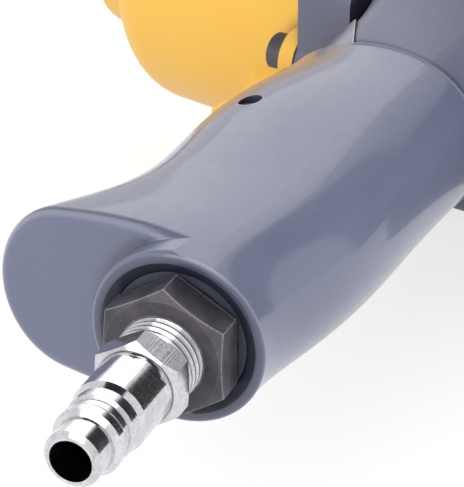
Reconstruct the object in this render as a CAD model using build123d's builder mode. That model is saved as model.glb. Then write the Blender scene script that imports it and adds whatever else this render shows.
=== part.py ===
from build123d import *

import os
from math import cos, hypot, radians, sin, sqrt, tan
from typing import NamedTuple

# Air impact wrench lying on its right side.
# X points forward along the drive axis, Y down the handle to its butt, Z to the tool's left side.
# The origin is the centre of the square drive's end face. All lengths are in millimetres.

# Clearances shared by every fit
press_gap = 0.02
running_gap = 0.04
slide_gap = 0.05
bond_gap = 0.15
touch_gap = 0.3

# Lengths along the drive axis
square_length = 20.0
shoulder_length = 2.0
case_nose_length = 12.2
case_front_wall = 5.8
washer_thickness = 1.4
cage_end_gap = 0.6
cage_length = 41.0
cage_rear_gap = 3.0
gasket = 0.5
housing_length = 66.0
cover_length = 14.0

case_cavity_depth = cage_rear_gap + cage_length + cage_end_gap + washer_thickness
case_length = case_cavity_depth + case_front_wall + case_nose_length
seam_x = -(square_length + shoulder_length + case_length)
nose_x = seam_x + case_length
housing_front = seam_x - gasket
housing_rear = housing_front - housing_length
cover_front = housing_rear - gasket
cover_rear = cover_front - cover_length

# Anvil and impact mechanism, from the axis outward
square_size = 12.7
square_chamfer = 1.2
anvil_radius = 11.0
anvil_core_radius = 9.5
anvil_rib_radius = 11.8
anvil_rib_width = 5.0
bush_wall = 3.5
retainer_setback = 6.0
retainer_width = 2.2
retainer_depth = 1.5
hammer_bite = 0.5
hammer_bore_gap = 1.4
hammer_wall = 5.3
hammer_tooth_width = 6.0
hammer_gap = 0.5
hammer_play = 2.4
hammer_notch_gap = 0.15
hammer_pin_radius = 3.0
hammer_pin_inset = 5.7
cage_bar_gap = 1.1
cage_bar_depth = 5.9
cage_bar_half_width = 9.0
cage_rear_plate = 5.0
cage_front_plate = 4.0
spline_radius = 6.0
spline_tip_radius = 7.2
spline_tooth_width = 2.6
spline_count = 6
washer_inset = 3.5

hammer_tooth_radius = anvil_rib_radius - hammer_bite
hammer_bore_radius = anvil_rib_radius + hammer_bore_gap
hammer_radius = hammer_bore_radius + hammer_wall
cage_bar_inner_radius = hammer_radius + cage_bar_gap
cage_radius = cage_bar_inner_radius + cage_bar_depth
hammer_pin_orbit = cage_radius - hammer_pin_inset
washer_radius = cage_radius - washer_inset

# Hammer case
cage_side_gap = 1.7
case_wall = 4.4
case_taper = 1.6
case_step = 1.3
case_shoulder_radius = 8.3
case_nose_wall = 5.44
case_nose_round = 1.5
case_lug_thickness = 3.0
case_bolt_offset = 2.5
case_bolt_count = 4
lug_radius = 5.2

case_cavity_radius = cage_radius + cage_side_gap
case_front_radius = case_cavity_radius + case_wall
case_rear_radius = case_front_radius + case_taper
housing_radius = case_rear_radius + case_step
case_bolt_radius = housing_radius + case_bolt_offset
case_barrel_length = case_cavity_depth + case_front_wall - case_shoulder_radius

# Cap screws
screw_radius = 2.0
screw_head_radius = 3.5
screw_head_height = 4.0
screw_head_round = 0.5
screw_socket_width = 3.0
screw_socket_depth = 2.2
screw_length = 14.0
screw_hole_gap = 0.25

# Motor housing
housing_front_wall = 5.0
housing_wall = 7.5
seal_seat_radius = 16.0
lug_length = 17.0
block_reach = 6.5
block_half_width = 17.0
block_length = 11.0
block_round = 3.0

motor_bore_radius = housing_radius - housing_wall
block_drop = housing_radius + block_reach

# Rear cover and reversing dial
cover_bolt_inset = 3.7
cover_bolt_count = 4
cover_bolt_turn = 45
cover_round = 6.0
cover_seat_depth = 5.0
cover_wall = 4.0
exhaust_slot_count = 4
exhaust_slot_width = 16.0
exhaust_slot_height = 2.2
exhaust_slot_pitch = 3.6
exhaust_rows = 2
reverse_bore_radius = 9.0
reverse_hub_length = 6.0
dial_radius = 15.0
dial_thickness = 4.0
dial_bar_height = 6.0
dial_bar_width = 7.0
dial_round = 1.0
dial_peg_width = 9.0
dial_peg_length = 3.0
dial_screw_radius = 1.5
dial_screw_head_radius = 2.9
dial_screw_head_height = 2.0
dial_screw_length = 9.0
oring_thickness = 1.4

cover_bolt_radius = housing_radius - cover_bolt_inset
cover_pocket_radius = motor_bore_radius - cover_wall

# Motor
end_plate_thickness = 8.0
liner_length = 38.0
liner_wall = 6.5
liner_offset = 1.5
port_radius = 2.0
port_count = 4
port_pitch = 8.0
rotor_side_gap = 0.5
rotor_end_gap = 0.3
vane_count = 6
vane_thickness = 2.4
vane_slot_depth = 8.2
vane_reach = 0.3
front_bearing_radius = 13.0
front_shaft_radius = 7.5
rear_bearing_radius = 11.0
rear_shaft_radius = 6.0
bearing_width = 6.0
seal_thickness = 4.0
dowel_radius = 1.5
dowel_inset = 4.0
dowel_reach = 5.0

liner_bore_radius = motor_bore_radius - liner_wall
rotor_radius = liner_bore_radius - liner_offset - rotor_side_gap
vane_root_radius = rotor_radius - vane_slot_depth
vane_tip_radius = rotor_radius + vane_reach
dowel_drop = motor_bore_radius - dowel_inset

# Inlet axis down the handle: the collar rim's centre, and how far the axis leans back
collar_setback = 40.8
collar_drop = 133.4
inlet_tilt = 12.2
collar_radius = 14.1
collar_height = 6.8
collar_flare = 0.3
collar_sweep = 0.25
collar_ease = 0.1
collar_step = 3.8
collar_rim_round = 1.2
collar_dish_depth = 0.9
collar_dish_radius = 12.6

# Handle
grip_wall = 3.2
neck_inset = 1.2
lip_drop = 57.0
lip_groove = 0.7
lip_bevel = 0.5
lip_riser_top = 49.0
lip_riser_lean = 30.0
lip_riser_setback = 4.7
lip_riser_sink = 1.6
lip_riser_inset = 0.4
butt_lean = 6.0
butt_wall = 4.0
butt_round = 2.0
core_boss_radius = 10.8
core_overlap = 6.0

# Inlet passage, throttle seat and valve, by distance up the inlet axis from the rim
passage_radius = 7.4
upper_passage_radius = 6.0
seat_depth = 57.3
seat_thickness = 4.0
seat_hole_radius = 4.2
valve_disc_radius = 5.6
valve_disc_thickness = 2.5
valve_stem_radius = 1.25
valve_stem_length = 19.5
spring_radius = 5.0
spring_wall = 1.0
spring_foot_depth = 40.0
retainer_thickness = 2.0
retainer_hole_radius = 4.2

# Trigger, pulled straight back on a push rod
trigger_width = 8.4
trigger_round = 1.4
trigger_side_gap = 0.35
trigger_travel = 3.5
trigger_top = 50.2
trigger_back_setback = 11.7
trigger_bottom = 72.1
finger_lip_reach = 1.2
finger_lip_drop = 54.2
finger_hollow_setback = 2.7
finger_hollow_drop = 62.0
finger_tip_setback = 2.8
finger_tip_drop = 68.6
stem_drop = 60.0
stem_radius = 2.0
stem_tenon_length = 5.0
stem_bush_radius = 4.2
stem_tip_gap = 0.6

# Cross pin that keys the grip to the metal core
grip_pin_radius = 2.0
grip_pin_ahead = 10.1
grip_pin_drop = 84.5
grip_pin_half_length = 13.6

# Inlet bush, screen and air plug
bush_hex_width = 19.0
bush_hex_height = 5.7
bush_hex_chamfer = 0.9
bush_thread_radius = 8.6
bush_thread_length = 15.0
bush_bore_radius = 5.0
bush_socket_depth = 14.0
seal_washer_thickness = 0.8
screen_thickness = 2.0
screen_hole_radius = 0.8
screen_hole_pitch = 2.6
screen_rows = 5
plug_thread_radius = 6.58
plug_thread_pitch = 1.337
plug_thread_turns = 9
plug_thread_depth = 0.6
plug_thread_crest = 0.2
plug_thread_showing = 4.6
plug_hex_width = 13.0
plug_hex_length = 4.8
plug_hex_chamfer = 0.7
plug_bore_radius = 3.28
plug_barrel_radius = 5.9
plug_barrel_length = 8.7
plug_barrel_bevel = 0.8
plug_shoulder_length = 1.1
plug_ridge_radius = 5.4
plug_ridge_length = 1.9
plug_groove_radius = 4.9
plug_groove_length = 1.4
plug_groove_lead = 0.4
plug_groove_ramp = 0.9
plug_second_ridge_length = 1.4
plug_tip_ramp = 0.6
plug_tip_radius = 4.45
plug_tip_length = 4.7
plug_tip_round = 0.7


class Section(NamedTuple):
    """One cross-section of the handle, measured from the inlet axis in its own plane."""
    drop: float
    tilt: float
    front: float
    rear: float
    widest: float
    half_width: float
    front_round: float
    rear_round: float


lean = tan(radians(inlet_tilt))
inlet_dir = Vector(-sin(radians(inlet_tilt)), cos(radians(inlet_tilt)), 0)
collar_centre = Vector(seam_x - collar_setback, collar_drop, 0)
butt_drop = collar_drop - collar_height * inlet_dir.Y

# Outer skin of the grip, from the lip under the barrel past the butt to the collar's rim
grip_sections = [
    Section(lip_drop, inlet_tilt, 16.2, 21.9, -2.8, 16.6, 16.0, 16.0),
    Section(62.0, inlet_tilt, 17.0, 21.6, -2.2, 16.5, 15.9, 15.9),
    Section(90.0, inlet_tilt, 21.9, 20.0, 1.3, 15.8, 15.2, 15.2),
    Section(116.0, inlet_tilt, 28.0, 16.7, 5.9, 14.8, 14.15, 13.9),
    Section(butt_drop, inlet_tilt, 35.5, collar_radius + collar_sweep, 8.0, 15.1, 14.0, collar_radius),
    Section(collar_drop, inlet_tilt, 38.2, collar_radius, 7.0, 14.6, 13.6, collar_radius - collar_ease),
]

# Skin of the neck that spreads from the grip into the barrel
neck_sections = [
    Section(lip_drop - lip_groove, inlet_tilt, 16.1, 21.8, -2.8, 16.6, 16.0, 16.0),
    Section(46.0, inlet_tilt / 2, 11.4, 24.0, 1.2, 18.6, 26.0, 17.0),
    Section(35.0, 0, 10.5, 29.0, 0.0, 20.6, 40.0, 18.6),
    Section(24.0, 0, 11.0, 35.5, -1.0, 24.6, 40.0, 22.0),
]


def across(x):
    """Plane square to the drive axis: local x runs down the handle, local y to the tool's left."""
    return Plane(origin=(x, 0, 0), x_dir=(0, 1, 0), z_dir=(1, 0, 0))


def inlet_point(out):
    """Point on the inlet axis, at a distance outward from the collar's rim."""
    return collar_centre + inlet_dir * out


def across_inlet(out):
    """Plane square to the inlet axis: local x points to the tool's left, local y forward."""
    return Plane(origin=inlet_point(out), x_dir=(0, 0, 1), z_dir=inlet_dir)


def inlet_x(drop):
    """Station of the inlet axis at a given drop below the drive axis."""
    return collar_centre.X + (collar_drop - drop) * lean


inlet_axis = Axis(collar_centre, inlet_dir)
along_inlet = Plane(origin=collar_centre, x_dir=inlet_dir, z_dir=(0, 0, 1))


def handle_outline(section, inset):
    """Six tangent arcs round one handle section, moved inward by an inset."""
    turn = radians(section.tilt)
    plane = Plane(
        origin=(inlet_x(section.drop), section.drop, 0),
        x_dir=(cos(turn), sin(turn), 0),
        z_dir=(-sin(turn), cos(turn), 0),
    )
    half = section.half_width - inset
    ends = []
    for side, reach, round_radius in (
        (1, section.front - section.widest, section.front_round),
        (-1, section.rear + section.widest, section.rear_round),
    ):
        end = round_radius - inset
        run = reach - round_radius
        flank = (run**2 + half**2 - end**2) / (2 * (half - end))
        join_x = run + end * run / (flank - end)
        join_y = end * (flank - half) / (flank - end)
        mid_x = (0 + join_x) / 2
        mid_y = (half + join_y) / 2 + flank - half
        scale = flank / hypot(mid_x, mid_y)
        bulge = (mid_x * scale, mid_y * scale - (flank - half))
        ends.append((side, reach - inset, join_x, join_y, bulge))
    with BuildSketch(plane) as outline:
        with BuildLine():
            for side, reach, join_x, join_y, bulge in ends:
                near = section.widest
                for hand in (1, -1):
                    ThreePointArc(
                        (near, hand * half),
                        (near + side * bulge[0], hand * bulge[1]),
                        (near + side * join_x, hand * join_y),
                    )
                ThreePointArc(
                    (near + side * join_x, join_y),
                    (near + side * reach, 0),
                    (near + side * join_x, -join_y),
                )
        make_face()
    return outline.sketch


def core_section(inset):
    """Handle sections for the metal core, which stops short of the butt and runs up into the neck."""
    top = grip_sections[0]._replace(drop=lip_drop - core_overlap)
    butt = grip_sections[-2]
    end = butt._replace(drop=butt.drop - butt_wall * inlet_dir.Y)
    return [handle_outline(s, inset) for s in [top] + grip_sections[:-2] + [end]]


def ring(plane, outer, inner, length):
    """Plain ring on a plane, grown along the plane's normal."""
    with BuildPart() as body:
        with BuildSketch(plane):
            Circle(outer)
            Circle(inner, mode=Mode.SUBTRACT)
        extrude(amount=length)
    return body.part


def finish(part, name):
    """Name a piece and write it."""
    part.label = name
    export_step(part, f"parts/{name}.step")


os.makedirs("parts", exist_ok=True)


# Anvil bush, pressed into the nose
bush_outer_radius = anvil_radius + running_gap + bush_wall
cavity_front = seam_x + case_cavity_depth
nose_bore_radius = bush_outer_radius + press_gap

anvil_bush = ring(
    across(cavity_front), bush_outer_radius, anvil_radius + running_gap, nose_x - cavity_front
)
finish(anvil_bush, "anvil_bush")


# Hammer case: tapered barrel, rounded shoulder, nose and a flange with screw lugs
case_nose_radius = nose_bore_radius + case_nose_wall
case_face = seam_x + case_barrel_length + case_shoulder_radius
shoulder_inner = case_front_radius - case_shoulder_radius
shoulder_mid = case_shoulder_radius * sqrt(0.5)

with BuildPart() as hammer_case:
    with BuildSketch(Plane.XY):
        with BuildLine():
            Polyline(
                (cavity_front, nose_bore_radius),
                (cavity_front, case_cavity_radius),
                (seam_x, case_cavity_radius),
                (seam_x, case_rear_radius),
                (seam_x + case_barrel_length, case_front_radius),
            )
            ThreePointArc(
                (seam_x + case_barrel_length, case_front_radius),
                (seam_x + case_barrel_length + shoulder_mid, shoulder_inner + shoulder_mid),
                (case_face, shoulder_inner),
            )
            Polyline(
                (case_face, shoulder_inner),
                (case_face, case_nose_radius),
                (nose_x - case_nose_round, case_nose_radius),
                (nose_x, case_nose_radius - case_nose_round),
                (nose_x, nose_bore_radius),
                (cavity_front, nose_bore_radius),
            )
        make_face()
    revolve(axis=Axis.X)
    with BuildSketch(across(seam_x)):
        Circle(housing_radius)
        with PolarLocations(case_bolt_radius, case_bolt_count):
            Circle(lug_radius)
        with PolarLocations(case_bolt_radius / 2, case_bolt_count):
            Rectangle(case_bolt_radius, 2 * lug_radius)
        Circle(case_cavity_radius, mode=Mode.SUBTRACT)
    extrude(amount=case_lug_thickness)
    with BuildSketch(across(seam_x)):
        with PolarLocations(case_bolt_radius, case_bolt_count):
            Circle(screw_radius + screw_hole_gap)
    extrude(amount=case_lug_thickness, mode=Mode.SUBTRACT)
    with BuildSketch(across(seam_x + case_lug_thickness)):
        with PolarLocations(case_bolt_radius, case_bolt_count):
            Circle(screw_head_radius + screw_hole_gap)
    extrude(amount=screw_head_height + screw_hole_gap, mode=Mode.SUBTRACT)
finish(hammer_case.part, "hammer_case")


def cap_screws(seat, direction, bolt_radius, count, first_angle, length):
    """Socket cap screws round the drive axis, heads standing on a seat and shanks running away from it."""
    with BuildPart() as screws:
        with BuildSketch(across(seat)):
            with PolarLocations(bolt_radius, count, start_angle=first_angle):
                Circle(screw_head_radius)
        extrude(amount=direction * screw_head_height)
        ends = screws.faces().sort_by(Axis.X)
        rim = ends[-count:] if direction > 0 else ends[:count]
        fillet(rim.edges(), screw_head_round)
        with BuildSketch(across(seat)):
            with PolarLocations(bolt_radius, count, start_angle=first_angle):
                Circle(screw_radius)
        extrude(amount=-direction * length)
        with BuildSketch(across(seat + direction * screw_head_height)):
            with PolarLocations(bolt_radius, count, start_angle=first_angle):
                RegularPolygon(screw_socket_width / 2, 6, major_radius=False)
        extrude(amount=-direction * screw_socket_depth, mode=Mode.SUBTRACT)
    return screws.part


case_screws = cap_screws(seam_x + case_lug_thickness, 1, case_bolt_radius, case_bolt_count, 0, screw_length)
finish(case_screws, "case_screws")


# Gasket between the hammer case and the housing
with BuildPart() as front_gasket:
    with BuildSketch(across(housing_front)):
        Circle(housing_radius)
        with PolarLocations(case_bolt_radius, case_bolt_count):
            Circle(lug_radius)
        with PolarLocations(case_bolt_radius / 2, case_bolt_count):
            Rectangle(case_bolt_radius, 2 * lug_radius)
        Circle(case_cavity_radius, mode=Mode.SUBTRACT)
        with PolarLocations(case_bolt_radius, case_bolt_count):
            Circle(screw_radius + screw_hole_gap, mode=Mode.SUBTRACT)
    extrude(amount=gasket)
finish(front_gasket.part, "front_gasket")


# Motor housing: barrel, flange lugs, block over the trigger, neck and the handle's metal core
thread_depth = screw_length + screw_hole_gap - case_lug_thickness - gasket
cover_thread_depth = screw_length + screw_hole_gap
bush_seat_out = -collar_dish_depth
bush_bottom_out = bush_seat_out + seal_washer_thickness - bush_thread_length
seat_top_out = -(seat_depth + seat_thickness)
pin_x = inlet_x(grip_pin_drop) + grip_pin_ahead
pocket_back = seam_x - trigger_back_setback - trigger_travel - touch_gap
pocket_half_width = trigger_width / 2 + trigger_side_gap
pocket_top = trigger_top - trigger_side_gap
pocket_bottom = trigger_bottom + trigger_side_gap
stem_bush_end = inlet_x(stem_drop) + upper_passage_radius / cos(radians(inlet_tilt)) + touch_gap


def trigger_pocket():
    """Slot that the trigger slides back into, open at the handle's front."""
    with BuildPart() as pocket:
        with BuildSketch(Plane.XY.offset(-pocket_half_width)):
            with Locations((pocket_back, (pocket_top + pocket_bottom) / 2)):
                Rectangle(
                    trigger_back_setback + finger_lip_reach,
                    pocket_bottom - pocket_top,
                    align=(Align.MIN, Align.CENTER),
                )
        extrude(amount=2 * pocket_half_width)
    return pocket.part


def stem_bore():
    """Hole for the push rod's bush, from the trigger's slot to the inlet passage."""
    with BuildPart() as bore:
        with BuildSketch(Plane(origin=(pocket_back, stem_drop, 0), x_dir=(0, 1, 0), z_dir=(1, 0, 0))):
            Circle(stem_bush_radius + press_gap)
        extrude(amount=inlet_x(stem_drop) - pocket_back)
    return bore.part


def grip_pin_bore():
    """Cross hole for the pin, right through the handle."""
    with BuildPart() as bore:
        with BuildSketch(Plane.XY.offset(-housing_radius)):
            with Locations((pin_x, grip_pin_drop)):
                Circle(grip_pin_radius + press_gap)
        extrude(amount=2 * housing_radius)
    return bore.part


with BuildPart() as motor_housing:
    with BuildSketch(across(housing_front)):
        Circle(housing_radius)
    extrude(amount=-housing_length)
    with BuildSketch(across(housing_front)):
        with PolarLocations(case_bolt_radius, case_bolt_count):
            Circle(lug_radius)
        with PolarLocations(case_bolt_radius / 2, case_bolt_count):
            Rectangle(case_bolt_radius, 2 * lug_radius)
    extrude(amount=-lug_length)
    with BuildSketch(across(housing_front)):
        with Locations((block_drop / 2, 0)):
            RectangleRounded(block_drop, 2 * block_half_width, block_round)
    extrude(amount=-block_length)
    loft(sections=[handle_outline(s, neck_inset) for s in neck_sections])
    loft(sections=core_section(grip_wall))
    with BuildSketch(across_inlet(-(collar_height + butt_wall))):
        Circle(core_boss_radius)
    extrude(amount=collar_height + butt_wall + bush_seat_out)
    with BuildSketch(across(housing_rear)):
        Circle(motor_bore_radius)
    extrude(amount=housing_length - housing_front_wall, mode=Mode.SUBTRACT)
    with BuildSketch(across(housing_front)):
        Circle(seal_seat_radius)
        with PolarLocations(case_bolt_radius, case_bolt_count):
            Circle(screw_radius + slide_gap)
    extrude(amount=-thread_depth, mode=Mode.SUBTRACT)
    with BuildSketch(across(housing_rear)):
        with PolarLocations(cover_bolt_radius, cover_bolt_count, start_angle=cover_bolt_turn):
            Circle(screw_radius + slide_gap)
    extrude(amount=cover_thread_depth, mode=Mode.SUBTRACT)
    with BuildSketch(across_inlet(bush_seat_out)):
        Circle(bush_thread_radius + slide_gap)
    extrude(amount=bush_bottom_out - bush_seat_out - touch_gap, mode=Mode.SUBTRACT)
    with BuildSketch(across_inlet(seat_top_out)):
        Circle(passage_radius)
    extrude(amount=-seat_top_out, mode=Mode.SUBTRACT)
    with BuildSketch(across_inlet(-collar_drop / inlet_dir.Y)):
        Circle(upper_passage_radius)
    extrude(amount=collar_drop / inlet_dir.Y, mode=Mode.SUBTRACT)
    add(stem_bore(), mode=Mode.SUBTRACT)
    add(trigger_pocket(), mode=Mode.SUBTRACT)
    add(grip_pin_bore(), mode=Mode.SUBTRACT)
finish(motor_housing.part, "motor_housing")


# Grip moulded over the core, with a collar round the inlet and a flat butt that reaches forward
butt_turn = radians(inlet_tilt - butt_lean)
butt_plane = Plane(
    origin=inlet_point(-collar_step),
    x_dir=(0, 0, 1),
    z_dir=(-sin(butt_turn), cos(butt_turn), 0),
)
rim_round_centre = collar_radius + collar_flare - collar_rim_round


def butt_recess():
    """What lies beyond the flat butt, all but the collar."""
    with BuildPart() as recess:
        with BuildSketch(butt_plane):
            Rectangle(2 * collar_drop, 2 * collar_drop)
        extrude(amount=collar_drop)
        with BuildSketch(across_inlet(-collar_drop)):
            Circle(collar_radius + collar_flare)
        extrude(amount=2 * collar_drop, mode=Mode.SUBTRACT)
    return recess.part


def lip_riser():
    """Front of the lip, which climbs the neck round the trigger."""
    turn = radians(lip_riser_lean)
    edge = Plane(
        origin=(inlet_x(lip_riser_top) + lip_riser_setback, lip_riser_top, 0),
        z_dir=(cos(turn), sin(turn), 0),
    )
    top = Plane(origin=(0, lip_riser_top, 0), z_dir=(0, 1, 0))
    with BuildPart() as riser:
        loft(sections=[
            handle_outline(grip_sections[1], lip_riser_sink),
            handle_outline(neck_sections[1], lip_riser_inset),
        ])
        split(bisect_by=edge, keep=Keep.TOP)
        split(bisect_by=top, keep=Keep.TOP)
        neck = [handle_outline(s, neck_inset - bond_gap) for s in neck_sections]
        loft(sections=neck, mode=Mode.SUBTRACT)
    return riser.part


with BuildPart() as grip:
    loft(sections=[handle_outline(s, 0) for s in grip_sections])
    chamfer(grip.faces().sort_by(Axis.Y)[0].edges(), lip_bevel)
    add(butt_recess(), mode=Mode.SUBTRACT)
    butt_axis = Axis(butt_plane.origin, butt_plane.z_dir)
    butt_face = grip.faces().filter_by(butt_axis).sort_by(inlet_axis)[-1]
    fillet(butt_face.edges().filter_by(GeomType.BSPLINE), butt_round)
    with BuildSketch(along_inlet):
        with Locations((-collar_rim_round, rim_round_centre)):
            Rectangle(
                collar_rim_round + slide_gap,
                collar_rim_round + collar_flare,
                align=(Align.MIN, Align.MIN),
            )
            Circle(collar_rim_round, mode=Mode.SUBTRACT)
    revolve(axis=inlet_axis, mode=Mode.SUBTRACT)
    add(lip_riser())
    with BuildSketch(along_inlet):
        with BuildLine():
            Polyline(
                (slide_gap, 0),
                (slide_gap, collar_dish_radius),
                (0, collar_dish_radius),
                (-collar_dish_depth, core_boss_radius),
                (-collar_dish_depth, 0),
                close=True,
            )
        make_face()
    revolve(axis=inlet_axis, mode=Mode.SUBTRACT)
    loft(sections=core_section(grip_wall - bond_gap), mode=Mode.SUBTRACT)
    with BuildSketch(across_inlet(0)):
        Circle(core_boss_radius + bond_gap)
    extrude(amount=-(collar_height + butt_wall), mode=Mode.SUBTRACT)
    add(stem_bore(), mode=Mode.SUBTRACT)
    add(trigger_pocket(), mode=Mode.SUBTRACT)
    add(grip_pin_bore(), mode=Mode.SUBTRACT)
finish(grip.part, "grip")


# Rear cover: domed cap with a spigot that holds the motor, screw seats and exhaust slots
screw_seat = cover_rear + cover_seat_depth
spigot_radius = motor_bore_radius - slide_gap
rear_plate_rear = housing_front - housing_front_wall - 2 * end_plate_thickness - liner_length
spigot_end = rear_plate_rear - slide_gap
dial_seat = cover_rear

with BuildPart() as rear_cover:
    with BuildSketch(across(cover_front)):
        Circle(housing_radius)
    extrude(amount=-cover_length)
    fillet(rear_cover.faces().sort_by(Axis.X)[0].edges(), cover_round)
    with BuildSketch(across(cover_front)):
        Circle(spigot_radius)
    extrude(amount=spigot_end - cover_front)
    with BuildSketch(across(spigot_end)):
        Circle(cover_pocket_radius)
    extrude(amount=cover_rear + cover_wall - spigot_end, mode=Mode.SUBTRACT)
    with BuildSketch(across(cover_rear)):
        Circle(reverse_bore_radius + cover_wall)
    extrude(amount=reverse_hub_length)
    with BuildSketch(across(cover_rear)):
        Circle(reverse_bore_radius)
    extrude(amount=reverse_hub_length, mode=Mode.SUBTRACT)
    with BuildSketch(across(cover_rear)):
        with PolarLocations(cover_bolt_radius, cover_bolt_count, start_angle=cover_bolt_turn):
            Circle(screw_head_radius + screw_hole_gap)
    extrude(amount=cover_seat_depth, mode=Mode.SUBTRACT)
    with BuildSketch(across(cover_front)):
        with PolarLocations(cover_bolt_radius, cover_bolt_count, start_angle=cover_bolt_turn):
            Circle(screw_radius + screw_hole_gap)
    extrude(amount=-cover_length, mode=Mode.SUBTRACT)
    slot_mid = cover_front - cover_length / 2
    slot_radius = (cover_pocket_radius + housing_radius) / 2
    for row in range(exhaust_rows):
        slot_x = slot_mid + (row - (exhaust_rows - 1) / 2) * exhaust_slot_pitch
        with BuildSketch(across(slot_x - exhaust_slot_height / 2)):
            with PolarLocations(slot_radius, exhaust_slot_count):
                Rectangle(housing_radius - cover_pocket_radius + cover_wall, exhaust_slot_width)
        extrude(amount=exhaust_slot_height, mode=Mode.SUBTRACT)
finish(rear_cover.part, "rear_cover")


cover_screw_length = cover_length - cover_seat_depth + gasket + screw_length
cover_screws = cap_screws(
    screw_seat, -1, cover_bolt_radius, cover_bolt_count, cover_bolt_turn, cover_screw_length
)
finish(cover_screws, "cover_screws")


# Gasket between the housing and the rear cover
with BuildPart() as rear_gasket:
    with BuildSketch(across(cover_front)):
        Circle(housing_radius)
        Circle(motor_bore_radius, mode=Mode.SUBTRACT)
        with PolarLocations(cover_bolt_radius, cover_bolt_count, start_angle=cover_bolt_turn):
            Circle(screw_radius + screw_hole_gap, mode=Mode.SUBTRACT)
    extrude(amount=gasket)
finish(rear_gasket.part, "rear_gasket")


# Motor end plates, with pockets for the bearings and a hole for the dowel
front_plate_front = housing_front - housing_front_wall
liner_front = front_plate_front - end_plate_thickness
liner_rear = liner_front - liner_length
plate_radius = motor_bore_radius - slide_gap
dowel_front = liner_front + dowel_reach
dowel_rear = liner_rear - dowel_reach


def end_plate(front, bearing_face, bearing_direction, bearing_radius, shaft_radius):
    """Motor end plate with its bearing pocket sunk from one face."""
    with BuildPart() as plate:
        with BuildSketch(across(front)):
            Circle(plate_radius)
            Circle(shaft_radius + 2 * touch_gap, mode=Mode.SUBTRACT)
        extrude(amount=-end_plate_thickness)
        with BuildSketch(across(bearing_face)):
            Circle(bearing_radius + press_gap)
        extrude(amount=bearing_direction * bearing_width, mode=Mode.SUBTRACT)
        with BuildSketch(across(dowel_rear)):
            with Locations((dowel_drop, 0)):
                Circle(dowel_radius + press_gap)
        extrude(amount=dowel_front - dowel_rear, mode=Mode.SUBTRACT)
    return plate.part


front_plate = end_plate(front_plate_front, front_plate_front, -1, front_bearing_radius, front_shaft_radius)
finish(front_plate, "front_plate")

rear_plate = end_plate(liner_rear, rear_plate_rear, 1, rear_bearing_radius, rear_shaft_radius)
finish(rear_plate, "rear_plate")

front_bearing = ring(
    across(front_plate_front - bearing_width), front_bearing_radius, front_shaft_radius, bearing_width
)
finish(front_bearing, "front_bearing")

rear_bearing = ring(across(rear_plate_rear), rear_bearing_radius, rear_shaft_radius, bearing_width)
finish(rear_bearing, "rear_bearing")

shaft_seal = ring(
    across(housing_front - housing_front_wall),
    seal_seat_radius - press_gap,
    front_shaft_radius + slide_gap,
    seal_thickness,
)
finish(shaft_seal, "shaft_seal")


# Cylinder liner: the bore stands off centre, so each vane chamber swells and shrinks as the rotor turns
with BuildPart() as cylinder_liner:
    with BuildSketch(across(liner_rear)):
        Circle(plate_radius)
        with Locations((-liner_offset, 0)):
            Circle(liner_bore_radius, mode=Mode.SUBTRACT)
        with Locations((dowel_drop, 0)):
            Circle(dowel_radius + press_gap, mode=Mode.SUBTRACT)
    extrude(amount=liner_length)
    with BuildSketch(Plane.XZ):
        with Locations(((liner_front + liner_rear) / 2, 0)):
            with GridLocations(port_pitch, 0, port_count, 1):
                Circle(port_radius)
    extrude(amount=motor_bore_radius, mode=Mode.SUBTRACT)
finish(cylinder_liner.part, "cylinder_liner")


with BuildPart() as motor_dowel:
    with BuildSketch(across(dowel_rear)):
        with Locations((dowel_drop, 0)):
            Circle(dowel_radius)
    extrude(amount=dowel_front - dowel_rear)
finish(motor_dowel.part, "motor_dowel")


# Rotor with its vane slots, front shaft splined into the hammer cage
rotor_front = liner_front - rotor_end_gap
rotor_rear = liner_rear + rotor_end_gap
cage_rear = seam_x + cage_rear_gap
cage_front = cage_rear + cage_length
cage_rear_face = cage_rear + cage_rear_plate

with BuildPart() as rotor:
    with BuildSketch(across(rotor_rear)):
        Circle(rotor_radius)
    extrude(amount=rotor_front - rotor_rear)
    with BuildSketch(across(rotor_rear)):
        with PolarLocations((vane_root_radius + rotor_radius) / 2, vane_count):
            Rectangle(rotor_radius - vane_root_radius + 2 * touch_gap, vane_thickness + 2 * slide_gap)
        with PolarLocations(rotor_radius, vane_count):
            Rectangle(2 * touch_gap, vane_thickness + 2 * slide_gap)
    extrude(amount=rotor_front - rotor_rear, mode=Mode.SUBTRACT)
    with BuildSketch(across(rotor_front)):
        Circle(front_shaft_radius - press_gap)
    extrude(amount=cage_rear - touch_gap - rotor_front)
    with BuildSketch(across(rotor_rear)):
        Circle(rear_shaft_radius - press_gap)
    extrude(amount=rear_plate_rear - rotor_rear)
    with BuildSketch(across(cage_rear - touch_gap)):
        Circle(spline_radius)
        with PolarLocations(spline_tip_radius / 2, spline_count):
            Rectangle(spline_tip_radius, spline_tooth_width)
    extrude(amount=cage_rear_plate + touch_gap)
finish(rotor.part, "rotor")


with BuildPart() as vanes:
    with BuildSketch(across(rotor_rear)):
        with PolarLocations((vane_root_radius + vane_tip_radius) / 2, vane_count):
            Rectangle(vane_tip_radius - vane_root_radius, vane_thickness)
    extrude(amount=rotor_front - rotor_rear)
finish(vanes.part, "vanes")


# Hammer cage: two end plates held apart by bars, with bores for the hammer pins
hammer_room = cage_length - cage_rear_plate - cage_front_plate
hammer_length = (hammer_room - 3 * hammer_gap) / 2
cage_front_face = cage_front - cage_front_plate

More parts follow.
